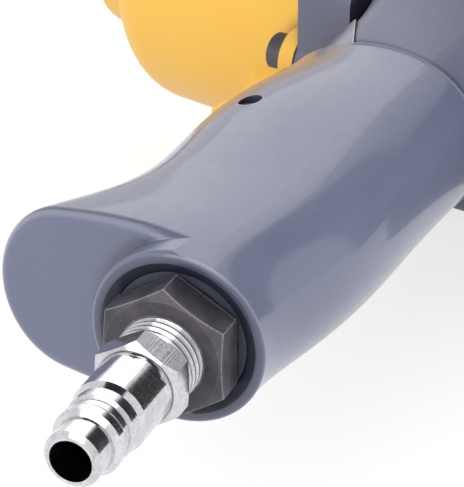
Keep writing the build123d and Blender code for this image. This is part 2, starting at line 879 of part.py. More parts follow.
with BuildPart() as hammer_cage:
    with BuildSketch(across(cage_rear)):
        Circle(cage_radius)
        Circle(spline_radius + slide_gap, mode=Mode.SUBTRACT)
        with PolarLocations(spline_tip_radius / 2, spline_count):
            Rectangle(
                spline_tip_radius + 2 * slide_gap, spline_tooth_width + 2 * slide_gap, mode=Mode.SUBTRACT
            )
    extrude(amount=cage_rear_plate)
    with BuildSketch(across(cage_front_face)):
        Circle(cage_radius)
        Circle(anvil_rib_radius + touch_gap, mode=Mode.SUBTRACT)
    extrude(amount=cage_front_plate)
    with BuildSketch(across(cage_rear_face)):
        Rectangle(2 * cage_radius, 2 * cage_bar_half_width)
        Circle(cage_radius, mode=Mode.INTERSECT)
        Circle(cage_bar_inner_radius, mode=Mode.SUBTRACT)
    extrude(amount=hammer_room)
    with BuildSketch(across(cage_rear)):
        with PolarLocations(hammer_pin_orbit, 2):
            Circle(hammer_pin_radius + slide_gap)
    extrude(amount=cage_length, mode=Mode.SUBTRACT)
finish(hammer_cage.part, "hammer_cage")


with BuildPart() as hammer_pins:
    with BuildSketch(across(cage_rear)):
        with PolarLocations(hammer_pin_orbit, 2):
            Circle(hammer_pin_radius)
    extrude(amount=cage_length)
finish(hammer_pins.part, "hammer_pins")


def swing_hammer(rear, pivot_side):
    """Ring hammer hung on one pin, with a wider notch at the other pin so that it can swing."""
    with BuildPart() as hammer:
        with BuildSketch(across(rear)):
            Circle(hammer_radius)
            Circle(hammer_bore_radius, mode=Mode.SUBTRACT)
            tooth_root_radius = hammer_bore_radius + hammer_wall / 4
            with Locations((0, pivot_side * (hammer_tooth_radius + tooth_root_radius) / 2)):
                Rectangle(hammer_tooth_width, tooth_root_radius - hammer_tooth_radius)
            with Locations((pivot_side * hammer_pin_orbit, 0)):
                Circle(hammer_pin_radius + slide_gap, mode=Mode.SUBTRACT)
            with Locations((-pivot_side * hammer_pin_orbit, 0)):
                notch = hammer_pin_radius + hammer_notch_gap
                SlotOverall(2 * (notch + hammer_play), 2 * notch, rotation=90, mode=Mode.SUBTRACT)
        extrude(amount=hammer_length)
    return hammer.part


rear_hammer = swing_hammer(cage_rear_face + hammer_gap, 1)
finish(rear_hammer, "rear_hammer")

front_hammer = swing_hammer(cage_rear_face + 2 * hammer_gap + hammer_length, -1)
finish(front_hammer, "front_hammer")


# Thrust washer between the cage and the front wall of the case
thrust_washer = ring(
    across(cavity_front - washer_thickness), washer_radius, anvil_rib_radius + touch_gap, washer_thickness
)
finish(thrust_washer, "thrust_washer")


# Anvil: ribbed end among the hammers, journal in the bush, square drive with a groove for its retainer
anvil_rear = cage_rear_face + hammer_gap
retainer_x = -retainer_setback
retainer_floor = square_size / 2 - retainer_depth

with BuildPart() as anvil:
    with BuildSketch(across(anvil_rear)):
        Circle(anvil_core_radius)
        with PolarLocations(anvil_rib_radius / 2, 2):
            Rectangle(anvil_rib_radius, anvil_rib_width)
    extrude(amount=cavity_front - washer_thickness - anvil_rear)
    with BuildSketch(across(cavity_front - washer_thickness)):
        Circle(anvil_radius)
    extrude(amount=nose_x + shoulder_length - cavity_front + washer_thickness)
    with BuildSketch(across(-square_length)):
        Rectangle(square_size, square_size)
        Circle(anvil_radius - touch_gap, mode=Mode.INTERSECT)
    extrude(amount=square_length)
    chamfer(anvil.faces().sort_by(Axis.X)[-1].edges(), square_chamfer)
    with BuildSketch(across(retainer_x - retainer_width / 2)):
        Circle(square_size)
        Circle(retainer_floor, mode=Mode.SUBTRACT)
    extrude(amount=retainer_width, mode=Mode.SUBTRACT)
finish(anvil.part, "anvil")


# Socket retainer: a split steel ring over a rubber ring, both in the square's groove
with BuildPart() as retainer_ring:
    with BuildSketch(across(retainer_x - retainer_width / 2 + slide_gap)):
        Circle(square_size / 2 + touch_gap)
        Circle(retainer_floor + retainer_depth / 2 + slide_gap, mode=Mode.SUBTRACT)
        with Locations((0, square_size / 2)):
            Rectangle(retainer_width, retainer_width, mode=Mode.SUBTRACT)
    extrude(amount=retainer_width - 2 * slide_gap)
finish(retainer_ring.part, "retainer_ring")

retainer_cushion = ring(
    across(retainer_x - retainer_width / 2 + slide_gap), retainer_floor + retainer_depth / 2,
    retainer_floor + slide_gap, retainer_width - 2 * slide_gap,
)
finish(retainer_cushion, "retainer_cushion")


# Reversing valve, turned by a dial on the rear cover
valve_radius = reverse_bore_radius - running_gap
valve_front = rear_plate_rear - slide_gap - bearing_width / 2
groove_x = cover_rear + reverse_hub_length / 2

with BuildPart() as reverse_valve:
    with BuildSketch(across(cover_rear)):
        Circle(valve_radius)
    extrude(amount=valve_front - cover_rear)
    with BuildSketch(across(cover_rear)):
        Rectangle(dial_peg_width, dial_peg_width)
    extrude(amount=-dial_peg_length)
    with BuildSketch(across(cover_rear - dial_peg_length)):
        Circle(dial_screw_radius + press_gap)
    extrude(amount=dial_screw_length, mode=Mode.SUBTRACT)
    with BuildSketch(across(groove_x - oring_thickness / 2)):
        Circle(valve_radius)
        Circle(valve_radius - oring_thickness, mode=Mode.SUBTRACT)
    extrude(amount=oring_thickness, mode=Mode.SUBTRACT)
    with BuildSketch(across(valve_front)):
        with Locations((valve_radius, 0)):
            Rectangle(valve_radius, valve_radius)
    extrude(amount=(cover_rear + reverse_hub_length - valve_front) / 2, mode=Mode.SUBTRACT)
finish(reverse_valve.part, "reverse_valve")

valve_oring = ring(
    across(groove_x - oring_thickness / 2 + slide_gap),
    valve_radius,
    valve_radius - oring_thickness + slide_gap,
    oring_thickness - 2 * slide_gap,
)
finish(valve_oring, "valve_oring")

dial_front = dial_seat - touch_gap
dial_back = dial_front - dial_thickness
bar_back = dial_back - dial_bar_height

with BuildPart() as reverse_dial:
    with BuildSketch(across(dial_front)):
        Circle(dial_radius)
    extrude(amount=-dial_thickness)
    with BuildSketch(across(dial_back)):
        Rectangle(dial_bar_width, 2 * dial_radius)
        Circle(dial_radius, mode=Mode.INTERSECT)
    extrude(amount=-dial_bar_height)
    fillet(reverse_dial.faces().sort_by(Axis.X)[0].edges(), dial_round)
    with BuildSketch(across(dial_front)):
        Rectangle(dial_peg_width + 2 * slide_gap, dial_peg_width + 2 * slide_gap)
    extrude(amount=-dial_peg_length, mode=Mode.SUBTRACT)
    with BuildSketch(across(dial_front)):
        Circle(dial_screw_radius + slide_gap)
    extrude(amount=bar_back - dial_front, mode=Mode.SUBTRACT)
    with BuildSketch(across(bar_back)):
        Circle(dial_screw_head_radius + slide_gap)
    extrude(amount=dial_screw_head_height + touch_gap, mode=Mode.SUBTRACT)
finish(reverse_dial.part, "reverse_dial")

dial_screw_seat = bar_back + dial_screw_head_height + touch_gap

with BuildPart() as dial_screw:
    with BuildSketch(across(dial_screw_seat)):
        Circle(dial_screw_head_radius)
    extrude(amount=-dial_screw_head_height)
    with BuildSketch(across(dial_screw_seat)):
        Circle(dial_screw_radius)
    extrude(amount=dial_screw_length)
    with BuildSketch(across(dial_screw_seat - dial_screw_head_height)):
        RegularPolygon(dial_screw_radius / 2 + slide_gap, 6, major_radius=False)
    extrude(amount=dial_screw_head_height / 2, mode=Mode.SUBTRACT)
finish(dial_screw.part, "dial_screw")


# Trigger: concave finger face, straight back with a socket for the push rod
def trigger_at(setback, drop):
    """Point of the trigger's side view, measured back from the seam and down from the drive axis."""
    return (seam_x - setback, drop)


def across_stem(x):
    """Plane square to the push rod at a station."""
    return Plane(origin=(x, stem_drop, 0), x_dir=(0, 1, 0), z_dir=(1, 0, 0))


trigger_back = seam_x - trigger_back_setback
stem_front = trigger_back + stem_tenon_length
stem_rear = inlet_x(stem_drop) + valve_stem_radius + stem_tip_gap

with BuildPart() as trigger:
    with BuildSketch(Plane.XY.offset(-trigger_width / 2)):
        with BuildLine():
            Polyline(
                trigger_at(trigger_back_setback, trigger_top),
                trigger_at(-finger_lip_reach, finger_lip_drop - 2 * trigger_round),
                trigger_at(-finger_lip_reach, finger_lip_drop),
            )
            ThreePointArc(
                trigger_at(-finger_lip_reach, finger_lip_drop),
                trigger_at(finger_hollow_setback, finger_hollow_drop),
                trigger_at(finger_tip_setback, finger_tip_drop),
            )
            Polyline(
                trigger_at(finger_tip_setback, finger_tip_drop),
                trigger_at(finger_tip_setback, trigger_bottom),
                trigger_at(trigger_back_setback, trigger_bottom),
                trigger_at(trigger_back_setback, trigger_top),
            )
        make_face()
    extrude(amount=trigger_width)
    trigger_middle = seam_x - trigger_back_setback / 2
    corners = trigger.edges().filter_by(Axis.Z)
    fillet(corners.filter_by(lambda e: e.center().X > trigger_middle), trigger_round)
    side_edges = trigger.faces().filter_by(Axis.Z).edges()
    fillet(side_edges.filter_by(lambda e: e.center().X > trigger_back + touch_gap), trigger_round / 2)
    with BuildSketch(across_stem(trigger_back)):
        Circle(stem_radius + press_gap)
    extrude(amount=stem_tenon_length + touch_gap, mode=Mode.SUBTRACT)
finish(trigger.part, "trigger")


# Push rod, fixed in the trigger and sliding in a bush
with BuildPart() as trigger_stem:
    with BuildSketch(across_stem(stem_rear)):
        Circle(stem_radius)
    extrude(amount=stem_front - stem_rear)
    fillet(trigger_stem.faces().sort_by(Axis.X)[0].edges(), stem_radius / 4)
finish(trigger_stem.part, "trigger_stem")

stem_bush = ring(
    across_stem(stem_bush_end), stem_bush_radius, stem_radius + running_gap, pocket_back - stem_bush_end
)
finish(stem_bush, "stem_bush")


with BuildPart() as grip_pin:
    with BuildSketch(Plane.XY.offset(-grip_pin_half_length)):
        with Locations((pin_x, grip_pin_drop)):
            Circle(grip_pin_radius)
    extrude(amount=2 * grip_pin_half_length)
finish(grip_pin.part, "grip_pin")


# Throttle: seat ring, tilting valve, its spring and the ring that the spring stands on
valve_seat = ring(
    across_inlet(seat_top_out), passage_radius - press_gap, seat_hole_radius, seat_thickness
)
finish(valve_seat, "valve_seat")

valve_face_out = -seat_depth + slide_gap

with BuildPart() as throttle_valve:
    with BuildSketch(across_inlet(valve_face_out)):
        Circle(valve_disc_radius)
    extrude(amount=valve_disc_thickness)
    with BuildSketch(across_inlet(valve_face_out)):
        Circle(valve_stem_radius)
    extrude(amount=-valve_stem_length)
finish(throttle_valve.part, "throttle_valve")

spring_top_out = valve_face_out + valve_disc_thickness + slide_gap
valve_spring = ring(
    across_inlet(spring_top_out), spring_radius, spring_radius - spring_wall,
    -spring_foot_depth - slide_gap - spring_top_out,
)
finish(valve_spring, "valve_spring")

spring_retainer = ring(
    across_inlet(-spring_foot_depth), passage_radius - press_gap, retainer_hole_radius, retainer_thickness
)
finish(spring_retainer, "spring_retainer")


# Inlet: sealing washer, hexagon bush, screen and the quick-connect air plug
hex_base = bush_seat_out + seal_washer_thickness
hex_face = hex_base + bush_hex_height
socket_radius = plug_thread_radius + slide_gap + press_gap

inlet_washer = ring(
    across_inlet(bush_seat_out), bush_hex_width / 2, bush_thread_radius + slide_gap, seal_washer_thickness
)
finish(inlet_washer, "inlet_washer")


def hexagon_prism(out, width, length, chamfer_depth, both_ends):
    """Hexagon with its corners turned down at the outer end, or at both ends."""
    corner = width / sqrt(3)
    turned = corner - 2 * chamfer_depth
    inner_end = [(out, turned), (out + chamfer_depth, corner)] if both_ends else [(out, corner)]
    with BuildPart() as prism:
        with BuildSketch(across_inlet(out)):
            RegularPolygon(width / 2, 6, major_radius=False)
        extrude(amount=length)
        with BuildSketch(along_inlet):
            with BuildLine():
                Polyline(
                    (out, 0),
                    *inner_end,
                    (out + length - chamfer_depth, corner),
                    (out + length, turned),
                    (out + length, 0),
                    close=True,
                )
            make_face()
        revolve(axis=inlet_axis, mode=Mode.INTERSECT)
    return prism.part


with BuildPart() as inlet_bush:
    add(hexagon_prism(hex_base, bush_hex_width, bush_hex_height, bush_hex_chamfer, False))
    with BuildSketch(across_inlet(bush_bottom_out)):
        Circle(bush_thread_radius)
    extrude(amount=hex_base - bush_bottom_out)
    with BuildSketch(across_inlet(hex_face)):
        Circle(socket_radius)
    extrude(amount=-bush_socket_depth, mode=Mode.SUBTRACT)
    with BuildSketch(across_inlet(hex_face)):
        Circle(bush_bore_radius)
    extrude(amount=bush_bottom_out - hex_face, mode=Mode.SUBTRACT)
finish(inlet_bush.part, "inlet_bush")

screen_out = bush_bottom_out - touch_gap - screen_thickness

with BuildPart() as inlet_screen:
    with BuildSketch(across_inlet(screen_out)):
        Circle(passage_radius - press_gap)
        with HexLocations(screen_hole_pitch / 2, screen_rows, screen_rows):
            Circle(screen_hole_radius, mode=Mode.SUBTRACT)
    extrude(amount=screen_thickness)
finish(inlet_screen.part, "inlet_screen")

plug_hex_out = hex_face + plug_thread_showing
plug_barrel_out = plug_hex_out + plug_hex_length
plug_shoulder_out = plug_barrel_out + plug_barrel_length
plug_ridge_out = plug_shoulder_out + plug_shoulder_length
plug_groove_out = plug_ridge_out + plug_ridge_length
plug_groove_end = plug_groove_out + plug_groove_lead + plug_groove_length
plug_second_out = plug_groove_end + plug_groove_ramp
plug_second_end = plug_second_out + plug_second_ridge_length
plug_tip_out = plug_second_end + plug_tip_ramp + plug_tip_length
plug_thread_out = plug_hex_out - plug_thread_turns * plug_thread_pitch
plug_root_radius = plug_thread_radius - plug_thread_depth

with BuildPart() as air_plug:
    with BuildSketch(along_inlet):
        with BuildLine():
            turns = [(plug_thread_out, plug_bore_radius), (plug_thread_out, plug_root_radius)]
            for turn in range(plug_thread_turns):
                start = plug_thread_out + turn * plug_thread_pitch
                crest_start = start + (1 - plug_thread_crest) / 2 * plug_thread_pitch
                turns.append((crest_start, plug_thread_radius))
                turns.append((crest_start + plug_thread_crest * plug_thread_pitch, plug_thread_radius))
                turns.append((start + plug_thread_pitch, plug_root_radius))
            Polyline(
                *turns,
                (plug_barrel_out, plug_root_radius),
                (plug_barrel_out + plug_barrel_bevel, plug_barrel_radius),
                (plug_shoulder_out, plug_barrel_radius),
                (plug_ridge_out, plug_ridge_radius),
                (plug_groove_out, plug_ridge_radius),
                (plug_groove_out + plug_groove_lead, plug_groove_radius),
                (plug_groove_end, plug_groove_radius),
                (plug_second_out, plug_ridge_radius),
                (plug_second_end, plug_ridge_radius),
                (plug_second_end + plug_tip_ramp, plug_tip_radius),
                (plug_tip_out - plug_tip_round, plug_tip_radius),
                (plug_tip_out, plug_tip_radius - plug_tip_round),
                (plug_tip_out, plug_bore_radius),
                (plug_thread_out, plug_bore_radius),
            )
        make_face()
    revolve(axis=inlet_axis)
    add(hexagon_prism(plug_hex_out, plug_hex_width, plug_hex_length, plug_hex_chamfer, True))
    with BuildSketch(across_inlet(plug_tip_out)):
        Circle(plug_bore_radius)
    extrude(amount=plug_thread_out - plug_tip_out, mode=Mode.SUBTRACT)
finish(air_plug.part, "air_plug")
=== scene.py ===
import math
from collections import namedtuple

import bpy
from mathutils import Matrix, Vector


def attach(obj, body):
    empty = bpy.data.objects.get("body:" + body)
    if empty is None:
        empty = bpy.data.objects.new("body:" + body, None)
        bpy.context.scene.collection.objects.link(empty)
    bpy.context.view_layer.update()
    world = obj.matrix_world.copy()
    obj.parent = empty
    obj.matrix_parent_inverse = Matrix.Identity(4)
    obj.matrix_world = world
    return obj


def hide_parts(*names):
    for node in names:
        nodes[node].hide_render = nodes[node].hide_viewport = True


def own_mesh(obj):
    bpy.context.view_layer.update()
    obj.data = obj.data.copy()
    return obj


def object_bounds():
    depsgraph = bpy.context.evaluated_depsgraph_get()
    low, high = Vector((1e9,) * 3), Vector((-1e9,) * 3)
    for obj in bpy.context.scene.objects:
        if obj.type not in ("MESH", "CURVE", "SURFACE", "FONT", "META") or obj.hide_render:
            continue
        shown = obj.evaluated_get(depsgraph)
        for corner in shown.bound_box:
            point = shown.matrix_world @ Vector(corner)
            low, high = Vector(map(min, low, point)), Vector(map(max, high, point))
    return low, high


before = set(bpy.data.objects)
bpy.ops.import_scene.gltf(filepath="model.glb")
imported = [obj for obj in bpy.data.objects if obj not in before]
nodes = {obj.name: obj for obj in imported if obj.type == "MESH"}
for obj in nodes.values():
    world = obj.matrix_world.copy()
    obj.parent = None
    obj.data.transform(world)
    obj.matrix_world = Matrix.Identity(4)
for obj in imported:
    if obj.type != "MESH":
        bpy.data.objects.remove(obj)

cad_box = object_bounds()
scene = bpy.context.scene
scene.view_settings.view_transform = "Standard"

# Axis of the air inlet, from the collar's rim outward. All lengths are in metres.
INLET = Vector((-0.1268, 0.1334, 0.0))
INLET_TILT = math.radians(12.2)
INLET_DIR = Vector((-math.sin(INLET_TILT), math.cos(INLET_TILT), 0.0))
FORWARD = Vector((math.cos(INLET_TILT), math.sin(INLET_TILT), 0.0))
UP = Vector((0.0, 0.0, 1.0))

# The grip's lip: how far up the inlet axis it lies, and its outline there
LIP_UP = 0.07817
LIP_FRONT, LIP_REAR, LIP_WIDEST = 0.0162, 0.0219, -0.0028
LIP_HALF, LIP_ROUND = 0.0166, 0.016

# Painted shade on the neck in a line just above the grip's lip, which starts and is full at these distances
# from the lip
NECK_SHADE_START, NECK_SHADE_FULL = -0.0032, -0.002
NECK_SHADE = 0.8

# Radii of the collar's dish and of its flat face, and how soon the painted shade round the inlet bush fades
# on them
COLLAR_DISH, COLLAR_FACE = 0.0126, 0.0139
SHADE_EDGE, SHADE_FADE = 0.0003, 0.0006

# The butt's plane, and how far ahead of the inlet axis its edge starts and is in full
BUTT = INLET - INLET_DIR * 0.0038
BUTT_TILT = math.radians(6.2)
BUTT_DIR = Vector((-math.sin(BUTT_TILT), math.cos(BUTT_TILT), 0.0))
BUTT_EDGE_START, BUTT_EDGE_FULL = 0.004, 0.008

# Painted lines on the butt's rounded edge, a dark reflection and a highlight, by the distance behind its
# plane
BUTT_DARK_REFLECTION, BUTT_DARK_REFLECTION_STRENGTH = -0.0016, 0.75
BUTT_HIGHLIGHT, BUTT_HIGHLIGHT_STRENGTH = -0.0007, 0.35
BUTT_LINE_REACH = 0.0005

WHITE = (1.0, 1.0, 1.0, 1.0)

# One bump of a surface: its height, its strength and its depth
Layer = namedtuple("Layer", "height strength depth")


def linear(r, g, b):
    """A written sRGB colour as the linear value that a shader socket takes."""
    out = []
    for c in (r, g, b):
        c = c / 255
        out.append(c / 12.92 if c <= 0.04045 else ((c + 0.055) / 1.055) ** 2.4)
    return (*out, 1.0)


def darker(colour, share):
    """A colour with that share of its brightness."""
    return tuple(c * share for c in colour[:3]) + (1.0,)


class Graph:
    """One node material under construction."""

    EDGE_SAMPLES, EDGE_LOW, EDGE_HIGH = 6, 0.02, 0.16
    CREVICE_SAMPLES, CREVICE_LOW, CREVICE_HIGH = 8, 0.35, 0.85
    RING_DETAIL, RING_DETAIL_SCALE = 3.0, 4.0

    def __init__(self, name):
        self.material = bpy.data.materials.new(name)
        self.material.use_nodes = True
        self.tree = self.material.node_tree
        self.shader = self.tree.nodes["Principled BSDF"]
        self.place = self.node("ShaderNodeTexCoord").outputs["Object"]

    def node(self, kind, **settings):
        made = self.tree.nodes.new(kind)
        for key, value in settings.items():
            setattr(made, key, value)
        return made

    def link(self, start, end):
        self.tree.links.new(start, end)

    def turned(self, axis, origin):
        """Coordinates whose Z runs along an axis through an origin."""
        mapping = self.node("ShaderNodeMapping", vector_type="TEXTURE")
        mapping.inputs["Location"].default_value = origin
        mapping.inputs["Rotation"].default_value = axis.to_track_quat("Z", "Y").to_euler()
        self.link(self.place, mapping.inputs["Vector"])
        return mapping.outputs["Vector"]

    def noise(self, scale, detail, rough=0.55):
        made = self.node("ShaderNodeTexNoise")
        made.inputs["Scale"].default_value = scale
        made.inputs["Detail"].default_value = detail
        made.inputs["Roughness"].default_value = rough
        self.link(self.place, made.inputs["Vector"])
        return made.outputs["Fac"]

    def rings(self, scale, axis, origin, distortion):
        """Turning lines along an axis."""
        made = self.node("ShaderNodeTexWave", wave_type="RINGS", rings_direction="Z")
        made.inputs["Scale"].default_value = scale
        made.inputs["Distortion"].default_value = distortion
        made.inputs["Detail"].default_value = self.RING_DETAIL
        made.inputs["Detail Scale"].default_value = self.RING_DETAIL_SCALE
        self.link(self.turned(axis, origin), made.inputs["Vector"])
        return made.outputs["Fac"]

    def ramp(self, value, stops):
        """Colour of a value, by stops that are each a position and a colour."""
        made = self.node("ShaderNodeValToRGB")
        while len(made.color_ramp.elements) < len(stops):
            made.color_ramp.elements.new(0.5)
        for element, (where, colour) in zip(made.color_ramp.elements, stops):
            element.position = where
            element.color = colour
        self.link(value, made.inputs["Fac"])
        return made.outputs["Color"]

    def span(self, value, low, high, start, end):
        """Low at the start of the value's range and high at its end, held beyond them."""
        made = self.node("ShaderNodeMapRange")
        made.inputs["From Min"].default_value = start
        made.inputs["From Max"].default_value = end
        made.inputs["To Min"].default_value = low
        made.inputs["To Max"].default_value = high
        self.link(value, made.inputs["Value"])
        return made.outputs["Result"]

    def times(self, a, b):
        made = self.node("ShaderNodeMath", operation="MULTIPLY")
        self.link(a, made.inputs[0])
        self.link(b, made.inputs[1])
        return made.outputs["Value"]

    def mix(self, factor, first, second):
        made = self.node("ShaderNodeMix", data_type="RGBA")
        self.link(factor, made.inputs["Factor"])
        for name, value in (("A", first), ("B", second)):
            socket = next(s for s in made.inputs if s.name == name and s.type == "RGBA")
            if isinstance(value, tuple):
                socket.default_value = value
            else:
                self.link(value, socket)
        return next(s for s in made.outputs if s.type == "RGBA")

    def bump(self, *layers):
        """Stacked bumps."""
        last = None
        for layer in layers:
            made = self.node("ShaderNodeBump")
            made.inputs["Strength"].default_value = layer.strength
            made.inputs["Distance"].default_value = layer.depth
            self.link(layer.height, made.inputs["Height"])
            if last is not None:
                self.link(last, made.inputs["Normal"])
            last = made.outputs["Normal"]
        self.link(last, self.shader.inputs["Normal"])

    def edges(self, radius):
        """High within a radius of a sharp edge, where a rounded normal leaves the true one."""
        rounded = self.node("ShaderNodeBevel", samples=self.EDGE_SAMPLES)
        rounded.inputs["Radius"].default_value = radius
        true = self.node("ShaderNodeNewGeometry")
        match = self.node("ShaderNodeVectorMath", operation="DOT_PRODUCT")
        self.link(rounded.outputs["Normal"], match.inputs[0])
        self.link(true.outputs["Normal"], match.inputs[1])
        return self.span(
            match.outputs["Value"], low=1.0, high=0.0, start=1.0 - self.EDGE_HIGH, end=1.0 - self.EDGE_LOW
        )

    def crevices(self, reach):
        """High deep in a crevice, where little of the surroundings is open."""
        open_share = self.node("ShaderNodeAmbientOcclusion", samples=self.CREVICE_SAMPLES)
        open_share.inputs["Distance"].default_value = reach
        return self.span(
            open_share.outputs["AO"], low=1.0, high=0.0, start=self.CREVICE_LOW, end=self.CREVICE_HIGH
        )

    def axis_radius(self, axis, origin):
        """Distance from an axis."""
        flat = self.node("ShaderNodeVectorMath", operation="MULTIPLY")
        flat.inputs[1].default_value = (1.0, 1.0, 0.0)
        self.link(self.turned(axis, origin), flat.inputs[0])
        length = self.node("ShaderNodeVectorMath", operation="LENGTH")
        self.link(flat.outputs["Vector"], length.inputs[0])
        return length.outputs["Value"]

    def axis_height(self, axis, origin):
        """Distance along an axis from its origin."""
        split = self.node("ShaderNodeSeparateXYZ")
        self.link(self.turned(axis, origin), split.inputs["Vector"])
        return split.outputs["Z"]

    def set(self, **values):
        """Sets or links the shader's sockets, named with _ for a space."""
        for key, value in values.items():
            socket = self.shader.inputs[key.replace("_", " ")]
            if isinstance(value, (int, float, tuple)):
                socket.default_value = value
            else:
                self.link(value, socket)


def collar_shade(g, colour, painted_shade):
    """Colour with painted shade on the collar's dish and face, darkest next to the inlet bush."""
    out = g.axis_radius(INLET_DIR, INLET)
    shade_share = g.times(
        g.span(out, low=0.9, high=0.5, start=COLLAR_DISH - SHADE_EDGE, end=COLLAR_DISH + SHADE_FADE),
        g.span(out, low=1.0, high=0.0, start=COLLAR_FACE - SHADE_EDGE, end=COLLAR_FACE),
    )
    return g.mix(shade_share, colour, painted_shade)


def butt_painted_reflections(g, colour, painted_shade, rubbed_and_highlight):
    """Colour with a painted dark reflection where the butt's edge starts to round and a painted highlight on
    its middle.
    """
    behind = g.axis_height(BUTT_DIR, BUTT)
    ahead = g.axis_height(FORWARD, INLET)
    core = BUTT_LINE_REACH / 3
    for middle, strength, tone in (
        (BUTT_DARK_REFLECTION, BUTT_DARK_REFLECTION_STRENGTH, painted_shade),
        (BUTT_HIGHLIGHT, BUTT_HIGHLIGHT_STRENGTH, rubbed_and_highlight),
    ):
        line = g.times(
            g.span(behind, low=0.0, high=strength, start=middle - BUTT_LINE_REACH, end=middle - core),
            g.span(behind, low=1.0, high=0.0, start=middle + core, end=middle + BUTT_LINE_REACH),
        )
        here = g.span(ahead, low=0.0, high=1.0, start=BUTT_EDGE_START, end=BUTT_EDGE_FULL)
        colour = g.mix(g.times(line, here), colour, tone)
    return colour


def moulded(name, light, dark, rubbed_and_highlight, painted_shade, rough, coat=0.0, is_grip=False):
    """Moulded plastic: soft clouds, faint ripples, fine grain, edges lightened as wear and as a painted
    highlight, painted shade in its crevices.
    """
    g = Graph(name)
    clouds = g.noise(scale=35.0, detail=4.0)
    grain = g.noise(scale=2600.0, detail=2.0)
    ripple = g.noise(scale=90.0, detail=1.0, rough=0.3)
    peel = g.noise(scale=520.0, detail=2.0, rough=0.5)
    scuffs = g.noise(scale=700.0, detail=6.0, rough=0.7)
    colour = g.ramp(clouds, [(0.3, dark), (0.7, light)])
    colour = g.mix(g.span(scuffs, low=0.0, high=0.35, start=0.62, end=0.78), colour, light)
    patchy = g.span(scuffs, low=0.5, high=1.0, start=0.3, end=0.6)
    # Pale edges: wear, and also a painted highlight along the edges.
    colour = g.mix(g.times(g.edges(radius=0.0006), patchy), colour, rubbed_and_highlight)
    # Painted shade: darker deep in crevices.
    colour = g.mix(g.crevices(reach=0.004), colour, painted_shade)
    if is_grip:
        # Painted shade on the collar round the inlet bush.
        colour = collar_shade(g, colour, painted_shade)
        # Painted dark reflection and painted highlight on the butt's rounded edge.
        colour = butt_painted_reflections(g, colour, painted_shade, rubbed_and_highlight)
    g.set(
        Base_Color=colour,
        Roughness=g.span(scuffs, low=rough - 0.05, high=rough + 0.09, start=0.3, end=0.7),
        Coat_Weight=coat,
        Coat_Roughness=0.1,
    )
    g.bump(
        Layer(ripple, strength=0.14, depth=0.0006),
        Layer(peel, strength=0.3, depth=0.00012),
        Layer(grain, strength=0.16, depth=0.00004),
    )
    return g.material


def enamel(name, light, dark, rough, neck=False):
    """Sprayed paint on a casting: orange peel, slight dust, worn through on the sharpest edges, painted shade
    in its crevices and, on the neck, a painted shade line just above the grip's lip.
    """
    g = Graph(name)
    clouds = g.noise(scale=28.0, detail=4.0)
    skin = g.noise(scale=420.0, detail=2.0, rough=0.4)
    specks = g.noise(scale=1500.0, detail=3.0, rough=0.6)
    # Dark tone for the painted shade in crevices and above the lip.
    painted_shade = darker(dark, 0.3)
    bare = linear(176, 176, 180)
    colour = g.ramp(clouds, [(0.3, dark), (0.7, light)])
    patchy = g.span(specks, low=0.0, high=0.7, start=0.5, end=0.66)
    worn = g.times(g.edges(radius=0.0004), patchy)
    colour = g.mix(worn, colour, bare)
    # Painted shade: darker deep in crevices.
    colour = g.mix(g.crevices(reach=0.005), colour, painted_shade)
    if neck:
        # Painted shade line on the neck just above the lip.
        past_lip = g.axis_height(INLET_DIR, INLET - INLET_DIR * LIP_UP)
        neck_shade = g.span(past_lip, low=0.0, high=NECK_SHADE, start=NECK_SHADE_START, end=NECK_SHADE_FULL)
        colour = g.mix(neck_shade, colour, painted_shade)
    g.set(
        Base_Color=colour,
        Roughness=g.span(specks, low=rough - 0.06, high=rough + 0.1, start=0.3, end=0.7),
        Metallic=worn,
    )
    g.bump(Layer(skin, strength=0.18, depth=0.00012), Layer(specks, strength=0.1, depth=0.00003))
    return g.material


def black_oxide(name, axis=None, origin=None):
    """Black oxide steel: brown and blue cast, turned rings where it has an axis, pale worn edges."""
    g = Graph(name)
    clouds = g.noise(scale=190.0, detail=4.0, rough=0.6)
    fine = g.noise(scale=3000.0, detail=3.0, rough=0.6)
    bare = linear(190, 186, 186)
    colour = g.ramp(clouds, [
        (0.3, linear(54, 54, 62)),
        (0.5, linear(76, 74, 82)),
        (0.62, linear(90, 85, 88)),
        (0.8, linear(66, 67, 77)),
    ])
    patchy = g.span(fine, low=0.3, high=1.0, start=0.35, end=0.6)
    colour = g.mix(g.times(g.edges(radius=0.0005), patchy), colour, bare)
    g.set(
        Base_Color=colour,
        Metallic=0.3,
        Roughness=g.span(clouds, low=0.42, high=0.58, start=0.3, end=0.7),
    )
    if axis is None:
        g.bump(Layer(fine, strength=0.25, depth=0.00005))
    else:
        lines = g.rings(2400.0, axis, origin, distortion=1.2)
        g.bump(Layer(lines, strength=0.22, depth=0.00005), Layer(fine, strength=0.3, depth=0.00005))
    return g.material


def plated(name, axis, origin, tint, rough):
    """Bright plating with faint turning lines, small pits and painted shade in its crevices."""
    g = Graph(name)
    clouds = g.noise(scale=420.0, detail=4.0, rough=0.6)
    pits = g.noise(scale=2600.0, detail=4.0, rough=0.7)
    pit_tone, crevice_shade = linear(140, 140, 150), linear(46, 46, 54)
    colour = g.ramp(clouds, [(0.3, darker(tint, 0.72)), (0.7, tint)])
    colour = g.mix(g.span(pits, low=0.0, high=1.0, start=0.55, end=0.75), colour, pit_tone)
    # Painted shade: darker deep in crevices.
    colour = g.mix(g.crevices(reach=0.002), colour, crevice_shade)
    g.set(
        Base_Color=colour,
        Metallic=1.0,
        Roughness=g.span(pits, low=rough * 0.6, high=rough * 1.6, start=0.35, end=0.7),
    )
    lines = g.rings(3000.0, axis, origin, distortion=0.5)
    g.bump(Layer(lines, strength=0.1, depth=0.00003), Layer(pits, strength=0.12, depth=0.00003))
    return g.material


